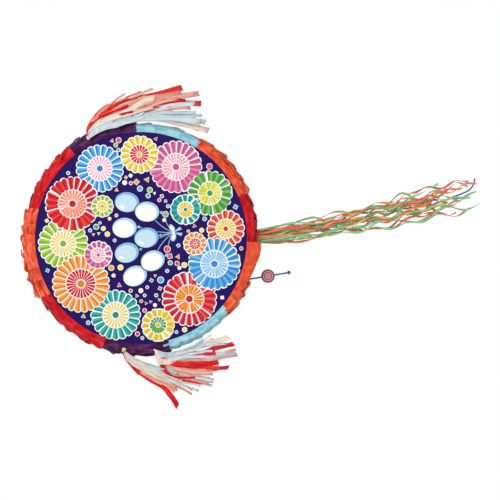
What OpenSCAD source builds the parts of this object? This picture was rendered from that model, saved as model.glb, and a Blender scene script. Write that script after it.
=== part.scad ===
// A round card drum that hangs from its top, dressed in rows of crepe paper,
// with a trap door in its rim that a short tagged cord pulls open.
// The origin is the hang hole, +Z is up and the printed front faces -Y.

/* [Drum] */
// outside diameter of the card drum
drum_d = 368; // [320:1:420]
// depth over the outer faces of the two panels
drum_depth = 90; // [80:1:120]
// thickness of the front and back panels
panel_t = 3; // [2:0.5:5]
// thickness of the two rim bands
band_t = 2; // [1.5:0.5:3]
// width of the flanges folded in along each band
flange_w = 10; // [6:1:14]
// thickness of the folded flanges
flange_t = 1.5; // [1:0.5:2]
// notches in the flanges of each band
flange_notches = 12; // [6:1:18]
// gap left for glue between curved layers
glue = 0.2; // [0.15:0.05:0.3]

/* [Covers] */
// distance from the drum's edge to the printed paper's edge
cover_inset = 9; // [6:0.5:14]
// thickness of the cover papers
cover_t = 0.6; // [0.4:0.1:0.9]

/* [Hanger] */
// hole that the hanging loop goes through
hang_hole_d = 8; // [5:0.5:10]
// thickness of the patch behind the hole
patch_t = 3; // [2:0.5:5]
// width of the patches across the rim
patch_w = 60; // [40:1:64]
// arc that each patch covers, in degrees
patch_arc = 24; // [16:1:30]

/* [Fill flap] */
// width of the fill flap in the back
flap_w = 120; // [90:1:140]
// height of the fill flap
flap_h = 80; // [60:1:100]
// corner radius of the fill flap
flap_corner = 12; // [6:1:20]
// height of the fold above the drum's middle
flap_top = 60; // [40:1:80]
// clearance around the fill flap
flap_gap = 0.6; // [0.4:0.1:1.2]
// radius of the thumb notch below the flap
thumb_r = 10; // [8:1:14]

/* [Trap door] */
// least paper between the ribbon slot and the trap door's fold
fold_gap = 5.2; // [5:0.1:8]
// arc that the trap door covers, in degrees
door_arc = 17.5; // [14:0.5:20]
// width of the trap door across the rim
door_w = 56; // [40:1:62]
// clearance around the trap door
door_gap = 0.5; // [0.4:0.1:1]
// thickness of the crepe skin on the trap door
skin_t = 1.2; // [0.8:0.1:1.6]
// how far the skin's free lip laps over the rim
skin_lap = 4; // [2:0.5:6]

/* [Crepe rows] */
// arcs of the orange, blue, purple and red blocks on the right
right_arcs = [35.5, 35, 35, 37.3]; // [32:0.1:40]
// arcs of the orange, blue, purple and red blocks on the left
left_arcs = [38.3, 35.2, 33.5, 40.3]; // [32:0.1:41]
// arc of the lowest red block to the right of the lowest point
low_right = 13; // [12:0.1:14]
// arc of the lowest red block to the left of the lowest point
low_left = 11.7; // [11:0.1:13]
// free edges of the orange, blue, purple and red rows above the drum
side_lifts = [11, 7, 13, 12]; // [5:0.5:13]
// free edges of the top orange rows above the drum
top_lift = 17; // [8:0.5:18]
// free edges of the lowest red rows above the drum
low_lift = 9; // [6:0.5:12]
// share of the lift that is left where the next row starts
row_root = 0.6; // [0.4:0.05:0.7]
// distance from row to row of the orange, blue, purple and red rows at the sides
side_pitches = [21, 36, 24, 24]; // [18:1:40]
// distance from row to row at the top and the lowest point
end_pitch = 22; // [18:1:32]
// height of the smooth bulge beside the trap door
bulge = 15; // [8:0.5:16]
// uncut paper below the slits
crepe_base = 1.6; // [1:0.1:2]
// thickness of the lips folded on to the front and back
lip_t = 1.2; // [1:0.1:1.6]
// distance from slit to slit across the rim
slit_pitch = 12; // [9:1:20]
// width of a slit
slit_w = 1.2; // [0.8:0.1:2]

/* [Tassels] */
// strips in each tassel
strips = 12; // [8:1:12]
// width of a strip
strip_w = 8; // [5:0.5:9]
// width of a strip where it is pinched at its root
pinch_w = 2.4; // [2:0.1:3]
// thickness of a strip
strip_t = 0.5; // [0.4:0.1:0.6]
// length of the longest strip
tassel_len = 204; // [150:1:220]
// angle of the tassels' roots from the lowest point
tassel_at = 108.4; // [104:0.2:112]
// widest splay on the right, in degrees
right_splay = 30; // [20:1:50]
// widest splay on the left, in degrees
left_splay = 53; // [20:1:56]

/* [Ribbons] */
// width of a ribbon
ribbon_w = 4.2; // [3:0.2:4.6]
// thickness of a ribbon
ribbon_t = 0.4; // [0.3:0.05:0.5]
// length of the longest ribbon
ribbon_len = 385; // [250:1:420]
// angle of the ribbon slot from the lowest point, to the left
slot_at = 8.6; // [8:0.1:8.8]
// how far the bundle drifts to the right by its end
drift = 11; // [0:1:20]
// how far the bundle leans to the left below the slot
lean = 5; // [0:0.5:6]
// sideways sway of each layer of ribbons
sway = 7; // [2:0.5:8]
// diameter of the blue streamer in the bundle
streamer_d = 2.4; // [1.6:0.1:2.6]

/* [Pull cord] */
// diameter of the pull cord
cord_d = 2.8; // [2:0.1:3.2]
// distance from the trap door to the middle of the end knot
cord_drop = 73; // [62:1:100]
// distance from the trap door to the middle of the tag
tag_drop = 36; // [30:1:40]
// diameter of the tag
tag_d = 22.8; // [18:0.2:28]
// thickness of one of the tag's two layers
tag_t = 0.8; // [0.5:0.1:1.2]
// diameter of the end knot
knot_d = 6.6; // [5:0.2:8]

/* [Hidden] */
$fn = 96;
drum_r = drum_d / 2;
half = drum_depth / 2;
band_in = drum_r - band_t;
cover_r = drum_r - cover_inset;
// the middle of the hang hole is in the middle of the patch
hang_drop = band_in - glue - patch_t / 2;
arc_mm = PI * drum_r / 180;
// the rounded fold stands a little proud of the door's card
bead_r = band_t / 2 + 0.1;
skin_out = drum_r + glue + skin_t;
cord_r = cord_d / 2;
// ribbons stand in columns across the drum and layers through its depth
columns = 5;
layers = 5;
column_pitch = ribbon_w + 0.5;
layer_pitch = 3.6;
slot_w = columns * column_pitch + 3.5;
slot_back = layers * layer_pitch / 2 + streamer_d + 1.6;
slot_x = -drum_r * sin(slot_at);
// room that the crepe leaves round the slot, beside the trap door and past its fold
slot_room = 1.5;
side_room = 1.5;
fold_room = 4;
// the trap door's fold, on the next half degree past the slot, and its free edge
fold_least = asin((slot_w / 2 + slot_room - slot_x) / drum_r) + fold_gap / arc_mm;
door_at = ceil(2 * fold_least) / 2;
door_free = -(door_at + door_arc);
// the pull cord leaves the door 4 mm from its free edge
cord_a = door_free + 4 / arc_mm;
// the cord's top is a short roll across the door, which it turns on
roll_r = cord_r + 0.15;
cord_top_r = skin_out + roll_r + 0.3;
cord_x = cord_top_r * sin(cord_a);
cord_y = -cord_top_r * cos(cord_a);
// the gathered knot sits on the rim's inner face and holds the ribbons
bunch_r = 18;
bunch_seat = sqrt(pow(band_in - 0.3, 2) - pow(bunch_r, 2));
ring_steps = 28;
strip_steps = 14;
lip_z = half + glue + lip_t;
wrap_t = 0.8;
wrap_len = 4;
wrap_z = lip_z + glue;
lane_pitch = 0.9;
lane_z = wrap_z + wrap_t + 0.3 + strip_t / 2;
low_a = [-low_left, low_right];
right_a = [for (i = [0:4]) low_right + (i == 0 ? 0 : add(right_arcs, i - 1))];
left_a = [for (i = [0:4]) 360 - low_left - (i == 0 ? 0 : add(left_arcs, i - 1))];

function add(list, last) = last < 0 ? 0 : list[last] + add(list, last - 1);
function unit(v) = v / norm(v);
// a point on the rim, its angle counted from the lowest point towards the right
function on_rim(a, r) = [r * sin(a), -r * cos(a)];

// the drum is drawn as seen from the front, with its axis towards the viewer
module as_hung() {
    translate([0, 0, -hang_drop])
        rotate([90, 0, 0])
            children();
}

// a curved slab of the rim between two angles
module rim_slab(a0, a1, r0, r1, w) {
    rotate([0, 0, a0 - 90])
        rotate_extrude(angle = a1 - a0)
            translate([r0, -w / 2])
                square([r1 - r0, w]);
}

// a closed solid through rings that all have the same number of points;
// opposite sides share their diagonals, so that a twisted strip keeps its thickness
module swept(rings) {
    k = len(rings[0]);
    last = (len(rings) - 1) * k;
    near = [for (j = [1:k - 2]) [0, j + 1, j]];
    far = [for (j = [1:k - 2]) [last, last + j, last + j + 1]];
    sides = [for (i = [0:k:last - k]) for (j = [0:k - 1])
        let (a = i + j, b = i + (j + 1) % k)
        each j < k / 2 ? [[a, b, a + k], [b, b + k, a + k]] : [[a, b, b + k], [a, b + k, a + k]]];
    polyhedron(points = [for (ring = rings) each ring], faces = concat(near, sides, far));
}

// the four corners of a flat strip's section, for its middle, direction and width direction
function strip_ring(p, along, across, w, t) =
    let (d = unit(across - along * (along * across)), n = cross(along, d))
    [p + d * w / 2 + n * t / 2, p - d * w / 2 + n * t / 2,
        p - d * w / 2 - n * t / 2, p + d * w / 2 - n * t / 2];

// a round tube's rings through hand-placed points
function tube_rings(path, r, sides) =
    [for (i = [0:len(path) - 1])
        let (along = unit(path[min(i + 1, len(path) - 1)] - path[max(i - 1, 0)]),
            d = unit(cross(along, [0, 0, 1])),
            n = cross(d, along))
        [for (j = [0:sides - 1])
            path[i] + r * cos(360 * j / sides) * d + r * sin(360 * j / sides) * n]];

module front_panel() {
    color("burlywood")
        translate([0, 0, half - panel_t])
            cylinder(h = panel_t, r = drum_r);
}

// the fill flap's outline, grown by g on its three cut sides
module flap_outline(g, top) {
    low = flap_top - flap_h - g;
    c = flap_corner + g;
    x = flap_w / 2 + g;
    translate([-x, low + c])
        square([2 * x, top - low - c]);
    translate([c - x, low])
        square([2 * (x - c), top - low]);
    for (s = [-1, 1])
        translate([s * (x - c), low + c])
            circle(r = c);
}

module flap_hole(g) {
    flap_outline(g, flap_top + panel_t / 2 + g);
    translate([0, flap_top - flap_h])
        circle(r = thumb_r);
}

module back_panel() {
    color("burlywood")
        translate([0, 0, -half])
            linear_extrude(panel_t)
                difference() {
                    circle(r = drum_r);
                    flap_hole(flap_gap);
                }
}

module fill_flap() {
    color("burlywood") {
        translate([0, 0, -half])
            linear_extrude(panel_t)
                flap_outline(0, flap_top);
        translate([-flap_w / 2, flap_top, panel_t / 2 - half])
            rotate([0, 90, 0])
                cylinder(h = flap_w, r = panel_t / 2);
    }
}

module flap_cover() {
    color("indigo")
        translate([0, 0, -half - cover_t])
            linear_extrude(cover_t)
                flap_outline(-0.4, flap_top - panel_t);
}

module front_cover() {
    color("indigo")
        translate([0, 0, half])
            cylinder(h = cover_t, r = cover_r);
}

module back_cover() {
    color("indigo")
        translate([0, 0, -half - cover_t])
            linear_extrude(cover_t)
                difference() {
                    circle(r = cover_r);
                    flap_hole(flap_gap + 0.6);
                }
}

// half of the rim: a strip bent round, with a notched flange folded in along each edge
module band_half(a0) {
    h = half - panel_t;
    fold = band_in - flange_w;
    turn = 0.3 / arc_mm;
    difference() {
        rotate([0, 0, a0 + turn - 90])
            rotate_extrude(angle = 180 - 2 * turn)
                polygon([[drum_r, -h], [drum_r, h], [fold, h], [fold, h - flange_t],
                    [band_in, h - flange_t], [band_in, flange_t - h],
                    [fold, flange_t - h], [fold, -h]]);
        for (i = [0:flange_notches - 1])
            rotate([0, 0, a0 + (i + 0.5) * 180 / flange_notches - 90])
                linear_extrude(2 * h + 2, center = true)
                    polygon([[fold - 1, -flange_w / 3], [band_in - 1, 0], [fold - 1, flange_w / 3]]);
    }
}

module hang_cut(r) {
    rotate([-90, 0, 0])
        cylinder(h = drum_r + 40, r = r);
}

module ribbon_slot(grow) {
    translate([slot_x - slot_w / 2 - grow, -drum_r - 40, -slot_back - grow])
        cube([slot_w + 2 * grow, 60 + grow, 2 * (slot_back + grow)]);
}

// room for the trap door, wider by g, from past its fold to past its free edge
module door_room(g, past_fold, past_free, r0, r1) {
    rim_slab(door_free - past_free / arc_mm, -door_at + past_fold / arc_mm, r0, r1,
        door_w + 2 * g);
}

module band_upper() {
    color("tan")
        difference() {
            band_half(90);
            hang_cut(hang_hole_d / 2 + 1);
        }
}

module band_lower() {
    color("tan")
        difference() {
            band_half(-90);
            ribbon_slot(0);
            door_room(door_gap, bead_r + door_gap, door_gap, band_in - 4, drum_r + 4);
        }
}

module splice(a) {
    color("peru")
        rim_slab(a - patch_arc / 2, a + patch_arc / 2, band_in - glue - patch_t, band_in - glue,
            patch_w);
}

module splice_right() {
    splice(90);
}

module splice_left() {
    splice(270);
}

module hanger_patch() {
    color("peru")
        difference() {
            rim_slab(180 - patch_arc / 2, 180 + patch_arc / 2, band_in - glue - patch_t,
                band_in - glue, patch_w);
            hang_cut(hang_hole_d / 2);
        }
}

// rows of crepe from one angle to another, the free edge of each at its lower end
function rows(a0, a1, lift, pitch) =
    let (n = max(1, round((a1 - a0) * arc_mm / pitch)),
        tip = drum_r + lift,
        root = drum_r + max(lift * row_root, crepe_base + 1),
        to_right = a0 + a1 < 360 && a0 >= 0)
    [for (i = [0:n - 1]) for (f = [0, 0.5, 1])
        let (q = to_right ? 1 - f : f)
        [a0 + (a1 - a0) * (i + f) / n, root + (tip - root) * q]];

// the smooth paper beside the trap door, fullest towards the ribbons
function swell(a0, a1) =
    [for (f = [0:0.125:1])
        [a0 + (a1 - a0) * f, drum_r + bulge * (0.55 + 0.45 * sin(min(90, 110 * f * f)))]];

// one colour's run of rows, folded on to the front and back, slit into tabs across the rim
module crepe(list) {
    edge = 0.15 / arc_mm;
    a_first = list[0][0];
    a_last = list[len(list) - 1][0];
    outline = [for (p = list) on_rim(min(max(p[0], a_first + edge), a_last - edge), p[1])];
    difference() {
        linear_extrude(2 * lip_z, center = true)
            polygon(concat([[0, 0]], outline));
        cylinder(h = 2 * lip_z + 2, r = cover_r + glue, center = true, $fn = 360);
        cylinder(h = drum_depth + 2 * glue, r = drum_r + glue, center = true, $fn = 360);
        slit_n = floor((drum_depth / 2 - 3) / slit_pitch);
        for (i = [-slit_n:slit_n])
            translate([0, 0, i * slit_pitch - slit_w / 2])
                difference() {
                    cylinder(h = slit_w, r = drum_r + 60);
                    translate([0, 0, -1])
                        cylinder(h = slit_w + 2, r = drum_r + glue + crepe_base, $fn = 360);
                }
    }
}

module crepe_top_orange() {
    color("orangered")
        difference() {
            crepe(concat(rows(right_a[4], 180, top_lift, end_pitch),
                rows(180, left_a[4], top_lift, end_pitch)));
            hang_cut(hang_hole_d / 2 + 3);
        }
}

module crepe_right_red() {
    color("red")
        crepe(rows(right_a[3], right_a[4], side_lifts[3], side_pitches[3]));
}

module crepe_right_purple() {
    color("purple")
        crepe(rows(right_a[2], right_a[3], side_lifts[2], side_pitches[2]));
}

module crepe_right_blue() {
    color("skyblue")
        crepe(rows(right_a[1], right_a[2], side_lifts[1], side_pitches[1]));
}

module crepe_right_orange() {
    color("orangered")
        crepe(rows(right_a[0], right_a[1], side_lifts[0], side_pitches[0]));
}

module crepe_low_red() {
    color("red")
        difference() {
            crepe(concat(rows(low_a[0], 0, low_lift, end_pitch), rows(0, low_a[1], low_lift, end_pitch)));
            ribbon_slot(slot_room);
        }
}

module crepe_left_orange() {
    color("orangered")
        difference() {
            crepe(concat(rows(left_a[1], 360 + cord_a, side_lifts[0], side_pitches[0]),
                swell(360 + cord_a, left_a[0])));
            ribbon_slot(slot_room);
            door_room(side_room, fold_room, skin_lap + 3, drum_r - 20, drum_r + 60);
            door_room(side_room + 1, 16, 0, drum_r + glue + crepe_base, drum_r + 60);
        }
}

module crepe_left_blue() {
    color("skyblue")
        crepe(rows(left_a[2], left_a[1], side_lifts[1], side_pitches[1]));
}

module crepe_left_purple() {
    color("purple")
        crepe(rows(left_a[3], left_a[2], side_lifts[2], side_pitches[2]));
}

module crepe_left_red() {
    color("red")
        crepe(rows(left_a[4], left_a[3], side_lifts[3], side_pitches[3]));
}

module cord_hole() {
    rotate([0, 0, cord_a])
        rotate([90, 0, 0])
            cylinder(h = drum_r + 40, r = cord_r + 0.3);
}

module trap_door() {
    color("tan")
        difference() {
            union() {
                rim_slab(door_free, -door_at, band_in, drum_r, door_w);
                rotate([0, 0, -door_at])
                    translate([0, band_t / 2 - drum_r, -door_w / 2])
                        cylinder(h = door_w, r = bead_r);
            }
            cord_hole();
        }
}

module door_skin() {
    color("orangered")
        difference() {
            rim_slab(door_free - skin_lap / arc_mm, -door_at - 3.5 / arc_mm, drum_r + glue,
                skin_out, door_w - 1);
            cord_hole();
        }
}

// the cord's inner end: knotted behind the door, up to the skin's outer face
module door_knot() {
    color("royalblue")
        rotate([0, 0, cord_a]) {
            translate([0, knot_d / 2 + 0.3 - band_in, 0])
                sphere(r = knot_d / 2);
            translate([0, -band_in + knot_d / 2, 0])
                rotate([90, 0, 0])
                    cylinder(h = skin_out - band_in + knot_d / 2, r = cord_r);
        }
}

// the hanging cord, rolled over at its top, where it bends as the door drops
module pull_cord() {
    color("royalblue")
        translate([cord_x, cord_y, 0]) {
            cylinder(h = cord_d + 0.6, r = roll_r, center = true);
            rotate([90, 0, 0])
                cylinder(h = cord_drop - knot_d / 2 - 0.2, r = cord_r);
        }
}

module end_knot() {
    color("royalblue")
        translate([cord_x, cord_y - cord_drop, 0]) {
            sphere(r = knot_d / 2);
            translate([0, -knot_d / 2 - 4, 0])
                rotate([-90, 0, 0])
                    cylinder(h = 6, r1 = cord_r + 0.6, r2 = cord_r);
        }
}

// one layer of the tag, pressed round the cord
module tag_layer() {
    channel = cord_r + 0.15;
    difference() {
        union() {
            translate([0, 0, 0.1])
                cylinder(h = tag_t, r = tag_d / 2);
            rotate([90, 0, 0])
                cylinder(h = tag_d * 0.8, r = channel + tag_t, center = true);
        }
        rotate([90, 0, 0])
            cylinder(h = tag_d + 2, r = channel, center = true);
        translate([-tag_d, -tag_d, 0.1 - 2 * tag_d])
            cube(2 * tag_d);
    }
}

module tag_front() {
    color("palevioletred")
        translate([cord_x, cord_y - tag_drop, 0])
            tag_layer();
}

module tag_back() {
    color("palevioletred")
        translate([cord_x, cord_y - tag_drop, 0])
            rotate([0, 180, 0])
                tag_layer();
}

// the ribbons' gathered knot, a dome that can't pass the slot
module ribbon_knot() {
    color("seagreen")
        rotate([0, 0, -slot_at])
            translate([0, -bunch_seat, 0])
                rotate([-90, 0, 0])
                    rotate_extrude()
                        intersection() {
                            translate([0, 5])
                                circle(r = bunch_r);
                            square(2 * bunch_r);
                        }
}

// just below the knot's flat face, where every ribbon starts
function bunch_y(x) = (-x * sin(slot_at) - bunch_seat - 0.4) / cos(slot_at);
function bundle_x(u) = slot_x + drift * u * u - lean * sin(180 * pow(u, 0.6));
function spread(u) = column_pitch + 7 * pow(u, 1.5);
function ribbon_share(c, l) = 1 - 0.2 * ((c * 3 + l * 5) % 7) / 6;
// each layer swings as one, in a long and a short wave of its own
function ribbon_swing(l, u) =
    sway * (0.6 * min(1, 3 * u) * sin(360 * (2.6 + 0.5 * l) * u + 100 * l)
        + 0.4 * min(1, 1.5 * u) * sin(360 * (6.2 + 0.6 * (2 * l % 5)) * u + 77 * l));
function ribbon_wave(c, l, u) =
    0.45 * (spread(u) - column_pitch) * sin(360 * 5 * u + 130 * c + 50 * l);
function ribbon_x(c, l, u) =
    bundle_x(u) + (c - 2) * spread(u) + ribbon_swing(l, u) + ribbon_wave(c, l, u);
function ribbon_z(c, l, u) =
    (2 - l) * layer_pitch * (1 + 0.5 * u) + 0.4 * min(1, 4 * u) * sin(360 * 6 * u + 75 * c);
function ribbon_point(c, l, u) =
    [ribbon_x(c, l, u), bunch_y(ribbon_x(c, l, 0)) - ribbon_len * u, ribbon_z(c, l, u)];
function ribbon_turn(c, l, u) = 25 * min(1, 4 * u) * sin(360 * 2.3 * u + 90 * c + 40 * l);

module ribbon(c, l) {
    swept([for (i = [0:ring_steps])
        let (u = ribbon_share(c, l) * i / ring_steps,
            a = ribbon_point(c, l, max(u - 0.01, 0)),
            b = ribbon_point(c, l, u + 0.01),
            turn = ribbon_turn(c, l, u))
        strip_ring(ribbon_point(c, l, u), i == 0 ? [0, -1, 0] : unit(b - a),
            [cos(turn), 0, sin(turn)], ribbon_w, ribbon_t)]);
}

module ribbons(colour) {
    for (c = [0:columns - 1])
        for (l = [0:layers - 1])
            if ((2 * c + 3 * l) % 5 % 3 == colour)
                ribbon(c, l);
}

module ribbons_green() {
    color("mediumseagreen")
        ribbons(0);
}

module ribbons_orange() {
    color("orangered")
        ribbons(1);
}

module ribbons_lime() {
    color("yellowgreen")
        ribbons(2);
}

// one round cord hangs behind the ribbons and flicks out at its end
streamer_z = -slot_back + streamer_d / 2 + 0.4;
streamer_path = [[slot_x - 2, bunch_y(slot_x - 2), streamer_z], [slot_x - 4, -190, streamer_z],
    [slot_x - 8, -225, streamer_z - 2], [slot_x - 3, -265, streamer_z - 4],
    [slot_x - 7, -305, streamer_z - 5], [slot_x, -350, streamer_z - 6],
    [slot_x - 4, -395, streamer_z - 6], [slot_x + 4, -440, streamer_z - 7],
    [slot_x + 3, -485, streamer_z - 7], [slot_x + 10, -525, streamer_z - 6],
    [slot_x + 16, -552, streamer_z - 5], [slot_x + 25, -563, streamer_z - 4],
    [slot_x + 35, -567, streamer_z - 3]];

module streamer_cord() {
    color("royalblue")
        swept(tube_rings(streamer_path, streamer_d / 2, 10));
}

tassel_root = on_rim(tassel_at, drum_r);
// the strips fan out from their root: the innermost bends close round the rim and hangs beside
// it, and the outermost goes straight out before it drops
inner_out = [16, -22];
inner_down = [27, -79];
outer_out = [36, 0];
outer_down = [52, -40];
function share(i) = i / (strips - 1);
function between(a, b, f) = a + (b - a) * f;
function splay(i, widest) = (widest + 3) * pow(share(i), 2) - 3;
function reach(i) = tassel_len * (1 - 0.42 * pow(share(i), 4));
function fan(u) = u < 0.45 ? 0 : pow((u - 0.45) / 0.55, 1.5);
function strip_xy(i, u, widest) =
    let (v = 1 - u,
        tip = reach(i) * [sin(splay(i, widest)), -cos(splay(i, widest))])
    tassel_root + 3 * u * v * v * between(inner_out, outer_out, share(i))
        + 3 * u * u * v * between(inner_down, outer_down, share(i)) + u * u * u * tip;
function strip_point(i, u, widest) =
    let (p = strip_xy(i, u, widest))
    [p[0] + 3 * u * sin(540 * u + 47 * i), p[1],
        lane_z + lane_pitch * (strips - 1 - i)
            - 30 * fan(norm(p - tassel_root) / tassel_len) * share(i)];
function strip_width(u) = min(strip_w, between(pinch_w, strip_w, u / 0.15));

module strip(i, widest) {
    swept([for (j = [0:strip_steps])
        let (u = pow(j / strip_steps, 1.2),
            a = strip_point(i, max(u - 0.01, 0), widest),
            b = strip_point(i, min(u + 0.01, 1), widest),
            along = unit(b - a))
        strip_ring(strip_point(i, u, widest), along, [-along[1], along[0], 0], strip_width(u),
            strip_t)]);
}

module tassel(colour, widest) {
    for (i = [strips - 1 - colour:-4:0])
        strip(i, widest);
}

// a paper sleeve that holds a tassel's strips together on the crepe lip
module wrap() {
    deep = lane_z + lane_pitch * (strips - 1) + strip_t / 2 + 0.4 - wrap_z - wrap_t;
    wide = pinch_w + 7.2;
    out = inner_out + outer_out;
    translate([tassel_root[0], tassel_root[1], wrap_z])
        rotate([0, 0, atan2(out[1], out[0])])
            difference() {
                translate([-1, -wide / 2 - wrap_t, 0])
                    cube([wrap_len, wide + 2 * wrap_t, deep + 2 * wrap_t]);
                translate([-2, -wide / 2, wrap_t])
                    cube([wrap_len + 2, wide, deep]);
            }
}

module wrap_right() {
    color("wheat")
        wrap();
}

module tassel_right_red() {
    color("red")
        tassel(0, right_splay);
}

module tassel_right_peach() {
    color("peachpuff")
        tassel(1, right_splay);
}

module tassel_right_blue() {
    color("lightsteelblue")
        tassel(2, right_splay);
}

module tassel_right_cream() {
    color("wheat")
        tassel(3, right_splay);
}

module wrap_left() {
    color("wheat")
        mirror([1, 0, 0])
            wrap();
}

module tassel_left_red() {
    color("red")
        mirror([1, 0, 0])
            tassel(0, left_splay);
}

module tassel_left_peach() {
    color("peachpuff")
        mirror([1, 0, 0])
            tassel(1, left_splay);
}

module tassel_left_blue() {
    color("lightsteelblue")
        mirror([1, 0, 0])
            tassel(2, left_splay);
}

module tassel_left_cream() {
    color("wheat")
        mirror([1, 0, 0])
            tassel(3, left_splay);
}

as_hung() {
    front_panel();
    back_panel();
    band_upper();
    band_lower();
    splice_right();
    splice_left();
    hanger_patch();
    front_cover();
    back_cover();
    crepe_top_orange();
    crepe_right_red();
    crepe_right_purple();
    crepe_right_blue();
    crepe_right_orange();
    crepe_low_red();
    crepe_left_orange();
    crepe_left_blue();
    crepe_left_purple();
    crepe_left_red();
    fill_flap();
    flap_cover();
    trap_door();
    door_skin();
    door_knot();
    pull_cord();
    tag_front();
    tag_back();
    end_knot();
    ribbon_knot();
    ribbons_green();
    ribbons_lime();
    ribbons_orange();
    streamer_cord();
    wrap_right();
    tassel_right_red();
    tassel_right_peach();
    tassel_right_blue();
    tassel_right_cream();
    wrap_left();
    tassel_left_red();
    tassel_left_peach();
    tassel_left_blue();
    tassel_left_cream();
}
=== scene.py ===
import math
import random

import bmesh
import bpy
from mathutils import Matrix, Vector, geometry, noise


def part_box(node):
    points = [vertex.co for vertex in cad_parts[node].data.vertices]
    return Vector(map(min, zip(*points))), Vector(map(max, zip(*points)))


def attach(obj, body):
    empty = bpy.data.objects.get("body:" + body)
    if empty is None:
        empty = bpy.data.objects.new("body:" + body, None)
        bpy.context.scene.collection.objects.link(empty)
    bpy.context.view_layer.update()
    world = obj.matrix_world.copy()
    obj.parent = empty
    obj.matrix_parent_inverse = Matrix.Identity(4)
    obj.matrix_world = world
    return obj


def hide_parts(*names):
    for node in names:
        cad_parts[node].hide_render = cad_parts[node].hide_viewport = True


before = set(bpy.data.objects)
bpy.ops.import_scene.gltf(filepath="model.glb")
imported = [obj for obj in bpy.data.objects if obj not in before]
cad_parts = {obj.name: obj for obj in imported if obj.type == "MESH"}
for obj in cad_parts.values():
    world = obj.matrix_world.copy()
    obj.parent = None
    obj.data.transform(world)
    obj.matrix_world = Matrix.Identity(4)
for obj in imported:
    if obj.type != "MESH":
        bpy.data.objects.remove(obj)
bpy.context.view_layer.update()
scene = bpy.context.scene

# The picture is taken square to the printed front from about 2.6 m, with the object turned on
# its side: its lowest point is at the right of the frame, 9.5 degrees up.
tilt = math.radians(9.5)
right = Vector((-math.sin(tilt), 0, -math.cos(tilt)))
up = Vector((math.cos(tilt), 0, -math.sin(tilt)))
camera_place = (-0.0491, -2.645, -0.354)
camera = bpy.data.objects.new("camera", bpy.data.cameras.new("camera"))
camera.data.sensor_width = 36
camera.data.lens = 113.7
camera.matrix_world = (Matrix.Translation(camera_place)
    @ Matrix((right, up, right.cross(up))).transposed().to_4x4())
scene.collection.objects.link(camera)
scene.camera = camera

# The drum is two discs and two bent bands of brown corrugated board, glued along notched
# flanges, with glued patches behind the seams and the hang hole. Only the openings show it.
low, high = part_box("front_panel")
drum_r = 500 * (high.x - low.x)
hang_drop = -500 * (high.z + low.z)
front_z = -1000 * low.y


def sin(angle):
    """the sine of an angle in degrees"""
    return math.sin(math.radians(angle))


def cos(angle):
    """the cosine of an angle in degrees"""
    return math.cos(math.radians(angle))


def hung(x, y, z):
    """a place in the frame, from millimetres on the drum seen from the front"""
    return Vector((x, -z, y - hang_drop)) / 1000


def on_rim(angle, r):
    """x and y on the rim, the angle counted from the lowest point towards the right"""
    return r * sin(angle), -r * cos(angle)


def linear(code):
    """the linear colour of an sRGB hex code"""
    parts = [int(code[i:i + 2], 16) / 255 for i in (1, 3, 5)]
    return [c / 12.92 if c <= 0.04045 else ((c + 0.055) / 1.055) ** 2.4 for c in parts] + [1]


def new_finish(name, values):
    """a material with values on its shader's own sockets, and that shader"""
    material = bpy.data.materials.new(name)
    material.use_nodes = True
    shader = material.node_tree.nodes["Principled BSDF"]
    for socket, value in values.items():
        shader.inputs[socket].default_value = value
    return material, shader


def add(material, kind, inputs, **settings):
    """a shader node with its settings, values and links"""
    node = material.node_tree.nodes.new("ShaderNode" + kind)
    for name, value in settings.items():
        setattr(node, name, value)
    for name, value in inputs.items():
        if isinstance(value, bpy.types.NodeSocket):
            material.node_tree.links.new(value, node.inputs[name])
        else:
            node.inputs[name].default_value = value
    return node


def noisy(material, where, scale, detail, rough=0.5):
    """a noise texture's values"""
    inputs = {"Vector": where, "Scale": scale, "Detail": detail, "Roughness": rough}
    return add(material, "TexNoise", inputs).outputs["Fac"]


def blend(material, share, first, second, way="MIX"):
    """the blend of two colours, which are hex codes or outputs of nodes"""
    first, second = (linear(c) if isinstance(c, str) else c for c in (first, second))
    inputs = {0: share, 6: first, 7: second}
    return add(material, "Mix", inputs, data_type="RGBA", blend_type=way).outputs[2]


def feed(material, shader, colour, height, strength, deep):
    """links a colour and a relief, deep in millimetres, to the shader"""
    inputs = {"Height": height, "Strength": strength, "Distance": deep / 1000}
    relief = add(material, "Bump", inputs)
    material.node_tree.links.new(colour, shader.inputs["Base Color"])
    material.node_tree.links.new(relief.outputs["Normal"], shader.inputs["Normal"])


def dress(names, material):
    """gives solids of the frame their finish"""
    for name in names:
        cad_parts[name].data.materials.clear()
        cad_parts[name].data.materials.append(material)


# Kraft board: a dull brown liner with long fibres, over flutes 6.5 mm apart that show as
# faint bands. A wave texture of scale 1 has bands 0.314 m apart.
wave_gap = 0.314
board, shader = new_finish("kraft_board", {"Roughness": 0.88, "Specular IOR Level": 0.25})
place = add(board, "TexCoord", {}).outputs["Object"]
grain = add(board, "Mapping", {"Vector": place, "Scale": (1, 1, 0.2)}).outputs[0]
flutes = add(board, "TexWave",
    {"Vector": place, "Scale": wave_gap / 0.0065, "Distortion": 0.6}, bands_direction="X")
brown = blend(board, noisy(board, grain, 420.0, 4.0, 0.65), "#8F6A43", "#C9A173")
banded = blend(board, 0.12, brown, flutes.outputs["Color"], "MULTIPLY")
feed(board, shader, banded, flutes.outputs["Fac"], 0.25, 0.3)
dress(("front_panel", "back_panel", "band_upper", "band_lower", "splice_right", "splice_left",
    "hanger_patch", "fill_flap", "trap_door"), board)

# The front cover is a disc of coated paper, offset printed and glued to the front panel. Its
# party pattern has folded-paper rosettes round the edge, a bunch of balloons and confetti.
low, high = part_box("front_cover")
print_r = 500 * (high.x - low.x)
print_t = 0.6
ink_step = 0.05
white, indigo, ice = "#FFFFFF", "#25105E", "#A9D6F0"
sheet_of_print = bmesh.new()
ink = sheet_of_print.loops.layers.float_color.new("ink")


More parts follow.
